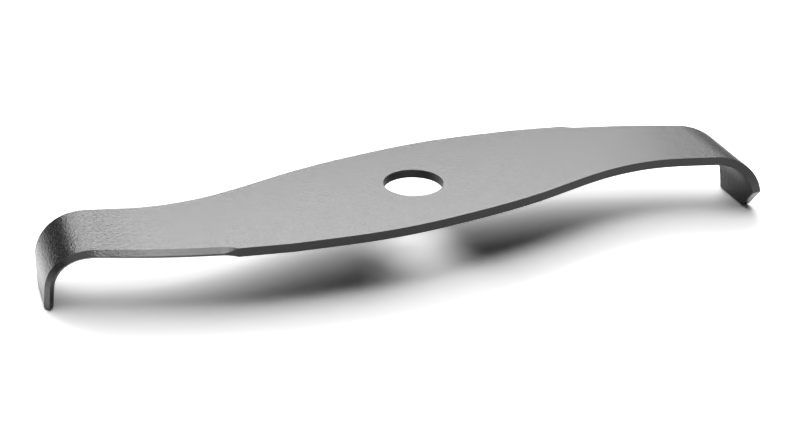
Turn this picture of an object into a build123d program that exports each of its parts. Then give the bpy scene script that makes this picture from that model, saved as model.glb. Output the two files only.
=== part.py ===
import os
from math import atan, cos, degrees, radians, sin

from build123d import *

os.makedirs("parts", exist_ok=True)

# Mulching blade: a flat steel plate with both ends bent down and their leading edges ground.
# The origin is the centre of the arbor bore at mid-thickness, X runs along the blade, Z is up.
# Each arm is described on the flat blank: distance out from the bore, and half width there.

# Plate and bore
plate_thickness = 3.9
bore_diameter = 25.4
bore_edge_break = 0.2

# Bends and the straight legs below them
bend_start = 137.3
bend_angle = 84.5
bend_inner_radius = 17.95
leg_length = 9.35

# Trailing edge from an arm's bend, through the hub, to the other arm's shoulder
trailing_at_bend = 16.35
trailing_points = [
    (bend_start, trailing_at_bend),
    (112.0, 11.45),
    (85.0, 13.8),
    (50.0, 25.3),
    (10.0, 34.7),
    (-30.0, 38.95),
    (-60.0, 38.05),
    (-92.0, 34.5),
]
trailing_slope_at_shoulder = 0.12
trailing_slope_at_bend = 0.22
trailing_at_tip = 21.7
trailing_slope_at_tip = 0.1

# Leading edge: ridge line, run-out beside the shoulder, and the bevels ground on both faces
ridge_start = (92.5, 34.25)
ridge_at_bend = 22.4
ridge_slope_at_bend = -0.345
ridge_at_tip = 10.95
ridge_slope_at_tip = -0.1
ridge_land = 0.2
bevel_width = 2.3
runout_radius = 13.0
runout_turn = 60

# Slanted cut across the trailing corner of the tip
corner_on_tip = 10.9
corner_width = 9.7
corner_height = 10.8

half_plate = plate_thickness / 2
neutral_radius = bend_inner_radius + half_plate
bend_length = radians(bend_angle) * neutral_radius
end_length = bend_length + leg_length
bevel_depth = half_plate - ridge_land / 2
ridge_angle = atan(ridge_slope_at_bend)
ridge_direction = Vector(cos(ridge_angle), sin(ridge_angle))

# Cutters and envelopes run past the plate by this much
spare = 1.5
beside = 20
spare_inset = bevel_width / cos(ridge_angle) * (1 + spare / bevel_depth)


def plane_across(distance):
    # Plane across the blade at a distance along the blank, its Y pointing out of the top face
    bent = min(max(distance - bend_start, 0), bend_length)
    turn = bent / neutral_radius
    straight = distance - bend_start - bent
    x = bend_start + neutral_radius * sin(turn) + straight * cos(turn)
    z = neutral_radius * (cos(turn) - 1) - straight * sin(turn)
    return Plane(origin=(x, 0, z), x_dir=(0, 1, 0), z_dir=(cos(turn), 0, -sin(turn)))


def end_half_width(distance, at_bend, slope_at_bend, at_tip, slope_at_tip):
    # Half width of the bent end on the flat blank, a smooth curve from the bend to the tip
    share = (distance - bend_start) / end_length
    from_bend = at_bend + slope_at_bend * end_length * share
    from_tip = at_tip + slope_at_tip * end_length * (share - 1)
    return from_bend + (from_tip - from_bend) * share**2 * (3 - 2 * share)


# Outline of half the flat blank; the other half is the same turned about the bore
with BuildLine() as half_outline:
    trailing_edge = Spline(
        *[(distance, -width) for distance, width in trailing_points],
        tangents=[(-1, trailing_slope_at_bend), (-1, trailing_slope_at_shoulder)],
    )
    bend_corner = (-bend_start, -ridge_at_bend - spare)
    TangentArc(bend_corner, trailing_edge @ 1, tangent=ridge_direction)
    Line(bend_corner, (-bend_start, trailing_at_bend))

# Area the grinding wheel takes off beside the flat part of an arm, at the height of the ridge
with BuildSketch() as ground_area:
    with BuildLine():
        ridge_end = Vector(bend_start, ridge_at_bend)
        outer_end = ridge_end + ridge_direction * beside
        Line(outer_end, ridge_end)
        ridge_line = TangentArc(ridge_end, ridge_start, tangent=-ridge_direction)
        runout = JernArc(ridge_line @ 1, ridge_line % 1, runout_radius, -runout_turn)
        Polyline(
            runout @ 1, runout @ 1 + Vector(0, beside), outer_end + Vector(0, 2 * beside), outer_end
        )
    make_face()

with BuildPart() as grinding:
    extrude(ground_area.sketch, amount=ridge_land, both=True)
    with BuildSketch(Plane.XY.offset(ridge_land / 2)):
        add(ground_area.sketch)
    extrude(amount=bevel_depth + spare, taper=-degrees(atan(bevel_width / bevel_depth)))
    mirror(about=Plane.XY)

# Edges of a bent end, from sections across it that are taller than the plate is thick
with BuildPart() as end_edges:
    for step in range(-1, 12):
        distance = bend_start + end_length * step / 10
        leading = end_half_width(
            distance, ridge_at_bend, ridge_slope_at_bend, ridge_at_tip, ridge_slope_at_tip
        )
        trailing = end_half_width(
            distance, trailing_at_bend, trailing_slope_at_bend, trailing_at_tip, trailing_slope_at_tip
        )
        with BuildSketch(plane_across(distance)):
            with BuildLine():
                Polyline(
                    (-trailing, half_plate + spare),
                    (leading - spare_inset, half_plate + spare),
                    (leading, ridge_land / 2),
                    (leading, -ridge_land / 2),
                    (leading - spare_inset, -half_plate - spare),
                    (-trailing, -half_plate - spare),
                    close=True,
                )
            make_face()
    loft()

# Bent end of an arm: a bent strip of plate kept within those edges, its trailing corner cut off
with BuildPart() as bent_end:
    with BuildLine(Plane.XZ) as bend_path:
        bend_arc = JernArc((bend_start, 0), (1, 0), neutral_radius, -bend_angle)
        Line(bend_arc @ 1, bend_arc @ 1 + bend_arc % 1 * leg_length)
    with BuildSketch(Plane.YZ.offset(bend_start)):
        Rectangle(4 * ridge_at_bend, plate_thickness)
    sweep(path=bend_path.line)
    add(end_edges.part, mode=Mode.INTERSECT)
    tip_plane = plane_across(bend_start + end_length)
    with BuildSketch(Plane(tip_plane.origin, x_dir=(0, 1, 0), z_dir=tip_plane.y_dir)):
        with BuildLine():
            lower_end = Vector(-corner_on_tip, 0)
            upper_end = lower_end + Vector(-corner_width, corner_height)
            cut_direction = (upper_end - lower_end).normalized()
            cut_line = Line(lower_end - cut_direction * spare, upper_end + cut_direction * 2 * spare)
            Polyline(
                cut_line @ 1,
                cut_line @ 1 - Vector(beside, 0),
                cut_line @ 0 - Vector(beside, 0),
                cut_line @ 0,
            )
        make_face()
    extrude(amount=plate_thickness, both=True, mode=Mode.SUBTRACT)

with BuildPart() as blade:
    with BuildSketch(Plane.XY.offset(-half_plate)):
        with BuildLine():
            add(half_outline.line)
            add(half_outline.line.rotate(Axis.Z, 180))
        make_face()
    extrude(amount=plate_thickness)
    with PolarLocations(0, 2):
        add(grinding.part, mode=Mode.SUBTRACT)
        add(bent_end.part)
    Hole(bore_diameter / 2)
    bore_rims = blade.edges().filter_by(GeomType.CIRCLE).filter_by(lambda rim: rim.is_closed)
    chamfer(bore_rims, bore_edge_break)

blade.part.label = "blade"
export_step(blade.part, "parts/blade.step")
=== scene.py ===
from math import atan2, cos, degrees, pi, radians, sin, tan

import bpy
from mathutils import Matrix, Vector


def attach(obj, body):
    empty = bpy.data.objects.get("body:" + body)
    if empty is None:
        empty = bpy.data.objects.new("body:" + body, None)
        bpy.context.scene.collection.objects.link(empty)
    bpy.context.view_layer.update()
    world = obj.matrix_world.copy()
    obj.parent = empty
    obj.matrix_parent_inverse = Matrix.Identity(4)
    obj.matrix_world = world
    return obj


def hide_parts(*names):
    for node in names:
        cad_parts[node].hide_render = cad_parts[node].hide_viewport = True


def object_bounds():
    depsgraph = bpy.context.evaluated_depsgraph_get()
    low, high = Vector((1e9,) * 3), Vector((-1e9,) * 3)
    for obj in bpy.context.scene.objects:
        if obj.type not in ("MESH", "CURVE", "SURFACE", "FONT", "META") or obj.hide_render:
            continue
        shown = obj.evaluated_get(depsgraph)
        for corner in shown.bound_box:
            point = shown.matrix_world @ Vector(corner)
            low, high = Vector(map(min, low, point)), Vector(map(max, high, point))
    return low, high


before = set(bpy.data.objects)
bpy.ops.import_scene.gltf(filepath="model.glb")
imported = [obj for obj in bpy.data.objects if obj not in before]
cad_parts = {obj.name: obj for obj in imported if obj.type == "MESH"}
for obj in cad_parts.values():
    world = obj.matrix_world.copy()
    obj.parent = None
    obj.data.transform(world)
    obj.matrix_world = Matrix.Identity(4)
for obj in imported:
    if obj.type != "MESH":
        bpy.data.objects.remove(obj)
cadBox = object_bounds()
scene = bpy.context.scene


def pickOnly(obj):
    bpy.ops.object.select_all(action="DESELECT")
    obj.select_set(True)
    bpy.context.view_layer.objects.active = obj


# Blade, from the node's own mesh, which is one piece of plate
blade = {
    "mergeDistance": 0.000002,
    "flatAngle": 0.4,       # degrees, neighbours that turn less than this become one face
    "edgeAngle": 28,        # degrees, sharper edges get rounded
    "edgeRound": 0.00012,
    "edgeSteps": 2,
    "tipHigh": 0.00045,     # edges lower than this over the floor are the tips' ends
    "tipRound": 0.0007,
    "tipSteps": 4,
    "flatReach": 0.1373,    # the flat part ends here, the bends begin
    "upright": 0.35,        # cut edges of the flat part: normals less up or down than this
    "sideways": 0.85,       # cut edges of the bent ends: normals more sideways than this
    "largeFaceWeight": 100,    # the flats keep their own shading beside the rounded edges
}


def makeBlade(size):
    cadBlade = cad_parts["blade"]
    pickOnly(cadBlade)
    bpy.ops.object.duplicate()
    piece = bpy.context.view_layer.objects.active
    piece.name = "bladeSteel"
    piece.parent = None
    for key in list(piece.keys()):
        if key.startswith("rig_"):
            del piece[key]
    pickOnly(piece)
    bpy.ops.object.mode_set(mode="EDIT")
    bpy.ops.mesh.select_all(action="SELECT")
    bpy.ops.mesh.remove_doubles(threshold=size["mergeDistance"])
    bpy.ops.mesh.dissolve_limited(angle_limit=radians(size["flatAngle"]))
    bpy.ops.object.mode_set(mode="OBJECT")
    bpy.ops.mesh.customdata_custom_splitnormals_clear()
    bpy.ops.object.shade_smooth()
    return piece


def paintBlade(piece, size, facePaint, cutPaint):
    piece.data.materials.clear()
    piece.data.materials.append(facePaint)
    piece.data.materials.append(cutPaint)
    # sideways faces take the second paint: a rougher finish, with a darker colour that is painted shade
    for face in piece.data.polygons:
        if abs(face.center.x) < size["flatReach"]:
            isCut = abs(face.normal.z) < size["upright"]
        else:
            isCut = abs(face.normal.y) > size["sideways"]
        face.material_index = int(isCut)


def roundTips(piece, size):
    pickOnly(piece)
    bpy.ops.object.mode_set(mode="EDIT")
    bpy.ops.mesh.select_mode(type="EDGE")
    bpy.ops.mesh.select_all(action="DESELECT")
    bpy.ops.object.mode_set(mode="OBJECT")
    top = cadBox[0].z + size["tipHigh"]
    spots = piece.data.vertices
    for edge in piece.data.edges:
        edge.select = all(spots[end].co.z < top for end in edge.vertices)
    bpy.ops.object.mode_set(mode="EDIT")
    bpy.ops.mesh.bevel(offset=size["tipRound"], segments=size["tipSteps"], affect="EDGES")
    bpy.ops.object.mode_set(mode="OBJECT")


def roundEdges(piece, size):
    pickOnly(piece)
    rounding = piece.modifiers.new("rounding", "BEVEL")
    rounding.limit_method = "ANGLE"
    rounding.angle_limit = radians(size["edgeAngle"])
    rounding.width = size["edgeRound"]
    rounding.segments = size["edgeSteps"]
    rounding.use_clamp_overlap = True
    bpy.ops.object.modifier_apply(modifier="rounding")
    shading = piece.modifiers.new("shading", "WEIGHTED_NORMAL")
    shading.mode = "FACE_AREA"
    shading.weight = size["largeFaceWeight"]
    bpy.ops.object.modifier_apply(modifier="shading")


# Dark satin paint; on the cut edges rougher, and darker in colour as painted shade on these sideways
# faces
paint = {
    "color": (0.037, 0.037, 0.0375),
    "roughness": 0.19,
    "ior": 1.6,
    "grainScale": 1200,
    "grainFlat": 0.00008,   # depth of the grain on the flat part
    "grainBent": 0.0002,    # and on the bends, where the plate's skin was stretched
}
cutPaint = {
    # darker than the faces' paint: painted shade on the cut edges, which face sideways
    "color": (0.02, 0.02, 0.0203),
    "roughness": 0.4,
    "ior": 1.62,
    "grainScale": 1000,
    "grainFlat": 0.00012,
    "grainBent": 0.00012,
}
grainZone = {"from": 0.116, "to": 0.14}    # distance from the bore over which the grain deepens
grainDetail = 1


def deeperAtBends(nodes, links, place, look):
    split = nodes.new("ShaderNodeSeparateXYZ")
    outward = nodes.new("ShaderNodeMath")
    outward.operation = "ABSOLUTE"
    depth = nodes.new("ShaderNodeMapRange")
    depth.interpolation_type = "SMOOTHSTEP"
    depth.inputs["From Min"].default_value = grainZone["from"]
    depth.inputs["From Max"].default_value = grainZone["to"]
    depth.inputs["To Min"].default_value = look["grainFlat"]
    depth.inputs["To Max"].default_value = look["grainBent"]
    links.new(place.outputs["Object"], split.inputs[0])
    links.new(split.outputs["X"], outward.inputs[0])
    links.new(outward.outputs[0], depth.inputs["Value"])
    return depth.outputs["Result"]


def makePaint(name, look):
    mat = bpy.data.materials.new(name)
    mat.use_nodes = True
    nodes, links = mat.node_tree.nodes, mat.node_tree.links
    shader = nodes["Principled BSDF"]
    shader.inputs["Base Color"].default_value = (*look["color"], 1)
    shader.inputs["Roughness"].default_value = look["roughness"]
    shader.inputs["IOR"].default_value = look["ior"]
    place = nodes.new("ShaderNodeTexCoord")
    grain = nodes.new("ShaderNodeTexNoise")
    grain.inputs["Scale"].default_value = look["grainScale"]
    grain.inputs["Detail"].default_value = grainDetail
    bump = nodes.new("ShaderNodeBump")
    links.new(place.outputs["Object"], grain.inputs["Vector"])
    links.new(grain.outputs["Fac"], bump.inputs["Height"])
    links.new(deeperAtBends(nodes, links, place, look), bump.inputs["Distance"])
    links.new(bump.outputs["Normal"], shader.inputs["Normal"])
    return mat


bladePiece = makeBlade(blade)
satinPaint = makePaint("darkSatinPaint", paint)
roughShadedEdgePaint = makePaint("roughShadedCutEdge", cutPaint)
paintBlade(bladePiece, blade, satinPaint, roughShadedEdgePaint)
roundTips(bladePiece, blade)
roundEdges(bladePiece, blade)
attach(bladePiece, "root")
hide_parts("blade")
print("blade made:", len(bladePiece.data.polygons), "faces")

# Floor
floorLook = {
    "half": 0.66,
    "plain": 0.4,       # colour for the light that bounces off it
    "seen": 1.66,       # colour for the camera, white where no shadow falls
    "mirrored": 1.5,    # colour in the paint's reflections, times a share by distance from the bore, which paints shade and light into these reflections
    "shadeAndLightInReflections": {
        0.0: 0.5,       # painted shade under the hub and the arms
        0.11: 0.55,
        0.137: 1.0,
        0.153: 0.42,    # painted shadow at the foot of the legs
        0.166: 1.0,
        0.18: 1.1,      # painted light just outside them
        0.24: 0.28,
        0.45: 0.28,     # painted shade from there on
    },
}
floorHeight = cadBox[0].z


def mixValue(nodes, links, factor, low, high):
    mix = nodes.new("ShaderNodeMix")
    mix.data_type = "FLOAT"
    for value, spot in ((factor, 0), (low, 2), (high, 3)):    # the number sockets of this node
        if isinstance(value, float):
            mix.inputs[spot].default_value = value
        else:
            links.new(value, mix.inputs[spot])
    return mix.outputs[0]


def mirrorRays(nodes, links, path):
    either = nodes.new("ShaderNodeMath")
    either.operation = "MAXIMUM"
    links.new(path.outputs["Is Glossy Ray"], either.inputs[0])
    links.new(path.outputs["Is Transmission Ray"], either.inputs[1])
    return either.outputs[0]


# the floor's share by distance from the bore, which paints shade and light into its reflections
def paintedShadeAndLightByDistance(nodes, links, stops):
    reach = max(stops)
    place = nodes.new("ShaderNodeTexCoord")
    away = nodes.new("ShaderNodeVectorMath")
    away.operation = "LENGTH"
    share = nodes.new("ShaderNodeMath")
    share.operation = "DIVIDE"
    share.inputs[1].default_value = reach
    fade = nodes.new("ShaderNodeFloatCurve")
    curve = fade.mapping.curves[0]
    for distance in sorted(stops)[1:-1]:
        curve.points.new(distance / reach, stops[distance])
    curve.points[0].location = (0, stops[min(stops)])
    curve.points[-1].location = (1, stops[reach])
    for point in curve.points:
        point.handle_type = "VECTOR"
    fade.mapping.update()
    links.new(place.outputs["Object"], away.inputs[0])
    links.new(away.outputs["Value"], share.inputs[0])
    links.new(share.outputs[0], fade.inputs["Value"])
    return fade.outputs[0]


def makeFloor(look):
    bpy.ops.object.select_all(action="DESELECT")
    bpy.ops.mesh.primitive_plane_add(size=2 * look["half"], location=(0, 0, floorHeight))
    floor = bpy.context.view_layer.objects.active
    floor.name = "floor"
    bpy.ops.object.transform_apply(location=True)
    mat = bpy.data.materials.new("paleFloor")
    mat.use_nodes = True
    nodes, links = mat.node_tree.nodes, mat.node_tree.links
    nodes.remove(nodes["Principled BSDF"])
    matt = nodes.new("ShaderNodeBsdfDiffuse")
    path = nodes.new("ShaderNodeLightPath")
    bright = nodes.new("ShaderNodeMath")
    bright.operation = "MULTIPLY"
    bright.inputs[1].default_value = look["mirrored"]
    links.new(paintedShadeAndLightByDistance(nodes, links, look["shadeAndLightInReflections"]), bright.inputs[0])
    mirrored = mixValue(nodes, links, mirrorRays(nodes, links, path), look["plain"], bright.outputs[0])
    seen = mixValue(nodes, links, path.outputs["Is Camera Ray"], mirrored, look["seen"])
    links.new(seen, matt.inputs["Color"])
    links.new(matt.outputs[0], nodes["Material Output"].inputs["Surface"])
    floor.data.materials.append(mat)


makeFloor(floorLook)
print("floor laid")

# Dark round walls behind the lamps, hidden from the camera, which give the bends their dark bands
# Angles in degrees: from and to go round from straight behind the blade, up is over the floor
walls = {
    "lowWall": {"radius": 2.4, "from": -180, "to": 180, "up": 13},
    "leftWall": {"radius": 2.3, "from": -75, "to": -22, "up": 36},
    "rightWall": {"radius": 2.3, "from": 28, "to": 80, "up": 21},
}
wallFoot = -0.15    # their feet are under the floor, which ends before them
wallSides = 72
wallCloth = {"color": (0.02, 0.02, 0.02), "roughness": 1, "specular": 0}


def makeWall(name, look):
    bpy.ops.object.select_all(action="DESELECT")
    height = look["radius"] * tan(radians(look["up"])) - wallFoot
    bpy.ops.mesh.primitive_cylinder_add(
        vertices=wallSides, radius=look["radius"], depth=height, end_fill_type="NOTHING",
        location=(0, 0, floorHeight + wallFoot + height / 2),
    )
    wall = bpy.context.view_layer.objects.active
    wall.name = name
    bpy.ops.object.transform_apply(location=True)
    bpy.ops.object.mode_set(mode="EDIT")
    bpy.ops.mesh.select_all(action="DESELECT")
    bpy.ops.object.mode_set(mode="OBJECT")
    for face in wall.data.polygons:
        around = degrees(atan2(face.center.x, face.center.y))
        face.select = not look["from"] <= around <= look["to"]
    bpy.ops.object.mode_set(mode="EDIT")
    bpy.ops.mesh.delete(type="FACE")
    bpy.ops.object.mode_set(mode="OBJECT")
    wall.visible_camera = False
    mat = bpy.data.materials.new(name + "Cloth")
    mat.use_nodes = True
    cloth = mat.node_tree.nodes["Principled BSDF"]
    cloth.inputs["Base Color"].default_value = (*wallCloth["color"], 1)
    cloth.inputs["Roughness"].default_value = wallCloth["roughness"]
    cloth.inputs["Specular IOR Level"].default_value = wallCloth["specular"]
    wall.data.materials.append(mat)


for name, look in walls.items():
    makeWall(name, look)
print("walls up:", len(walls))

# Lamps, each a soft box: where it hangs and half its width and height in degrees, and its brightness
lights = {
    "backBox": {"azimuth": 3, "elevation": 41.9, "halfWide": 28.2, "halfHigh": 16.6, "shine": 3.77},
    "topBox": {"azimuth": 61.5, "elevation": 88, "halfWide": 28, "halfHigh": 27, "shine": 1.95},
    "frontBox": {"azimuth": 227.3, "elevation": 69.4, "halfWide": 11.6, "halfHigh": 6.4, "shine": 3.42},
    "sideBox": {"azimuth": -12, "elevation": 60, "halfWide": 19, "halfHigh": 4, "shine": 3.2},
    "lowBox": {"azimuth": 38, "elevation": 11.5, "halfWide": 7, "halfHigh": 5, "shine": 1.4},
}
lampDistance = 1.6
dimmedSide = {"backBox": {"edge": 0.84, "rest": 1.08, "reach": 0.35}}    # dimmer towards its right


def makeLight(name, look):
    lamp = bpy.data.lights.new(name, "AREA")
    lamp.shape = "RECTANGLE"
    lamp.size = 2 * lampDistance * tan(radians(look["halfWide"]))
    lamp.size_y = 2 * lampDistance * tan(radians(look["halfHigh"]))
    lamp.energy = pi * lamp.size * lamp.size_y * look["shine"]
    around, up = radians(look["azimuth"]), radians(look["elevation"])
    away = Vector((sin(around) * cos(up), cos(around) * cos(up), sin(up)))
    obj = bpy.data.objects.new(name, lamp)
    scene.collection.objects.link(obj)
    obj.location = away * lampDistance
    obj.rotation_euler = (-away).to_track_quat("-Z", "Y").to_euler()
    return lamp


def dimSide(lamp, look):
    lamp.use_nodes = True
    nodes, links = lamp.node_tree.nodes, lamp.node_tree.links
    place = nodes.new("ShaderNodeNewGeometry")
    split = nodes.new("ShaderNodeSeparateXYZ")
    dim = nodes.new("ShaderNodeMapRange")
    dim.inputs["From Max"].default_value = look["reach"]
    dim.inputs["To Min"].default_value = look["edge"]
    dim.inputs["To Max"].default_value = look["rest"]
    links.new(place.outputs["Parametric"], split.inputs[0])
    links.new(split.outputs["X"], dim.inputs["Value"])
    links.new(dim.outputs["Result"], nodes["Emission"].inputs["Strength"])


for name, look in lights.items():
    lamp = makeLight(name, look)
    if name in dimmedSide:
        dimSide(lamp, dimmedSide[name])
print("lamps hung:", len(lights))

# World: white to the camera and in reflections, no light of its own on the blade
worldLook = {"ambient": 0.0, "seen": 1.0}


def makeWorld(look):
    world = bpy.data.worlds.new("studio")
    scene.world = world
    world.use_nodes = True
    nodes, links = world.node_tree.nodes, world.node_tree.links
    dim = nodes["Background"]
    dim.inputs["Color"].default_value = (look["ambient"],) * 3 + (1,)
    white = nodes.new("ShaderNodeBackground")
    white.inputs["Color"].default_value = (look["seen"],) * 3 + (1,)
    path = nodes.new("ShaderNodeLightPath")
    mix = nodes.new("ShaderNodeMixShader")
    seen = nodes.new("ShaderNodeMath")
    seen.operation = "MAXIMUM"
    links.new(mirrorRays(nodes, links, path), seen.inputs[0])
    links.new(path.outputs["Is Camera Ray"], seen.inputs[1])
    links.new(seen.outputs[0], mix.inputs[0])
    links.new(dim.outputs[0], mix.inputs[1])
    links.new(white.outputs[0], mix.inputs[2])
    links.new(mix.outputs[0], nodes["World Output"].inputs["Surface"])


makeWorld(worldLook)

# Camera, at the place that the photograph was taken from
view = {
    "spot": (-0.20442, -0.57366, 0.29812),
    "azimuth": -19.095,
    "elevation": 27.302,
    "roll": -0.721,
    "lens": 71.21,
    "sensor": 36,
    "nearest": 0.01,
    "farthest": 20,
}


def makeCamera(look):
    a, e, r = (radians(look[k]) for k in ("azimuth", "elevation", "roll"))
    ahead = Vector((-sin(a) * cos(e), cos(a) * cos(e), -sin(e)))
    level = Vector((cos(a), sin(a), 0))
    below = ahead.cross(level)
    right = level * cos(r) + below * sin(r)
    down = below * cos(r) - level * sin(r)
    turn = Matrix((right, -down, -ahead)).transposed()
    lens = bpy.data.cameras.new("camera")
    lens.lens = look["lens"]
    lens.sensor_width = look["sensor"]
    lens.clip_start, lens.clip_end = look["nearest"], look["farthest"]
    cam = bpy.data.objects.new("camera", lens)
    scene.collection.objects.link(cam)
    cam.matrix_world = Matrix.Translation(look["spot"]) @ turn.to_4x4()
    scene.camera = cam


makeCamera(view)
scene.view_settings.view_transform = "Standard"
print("camera set")
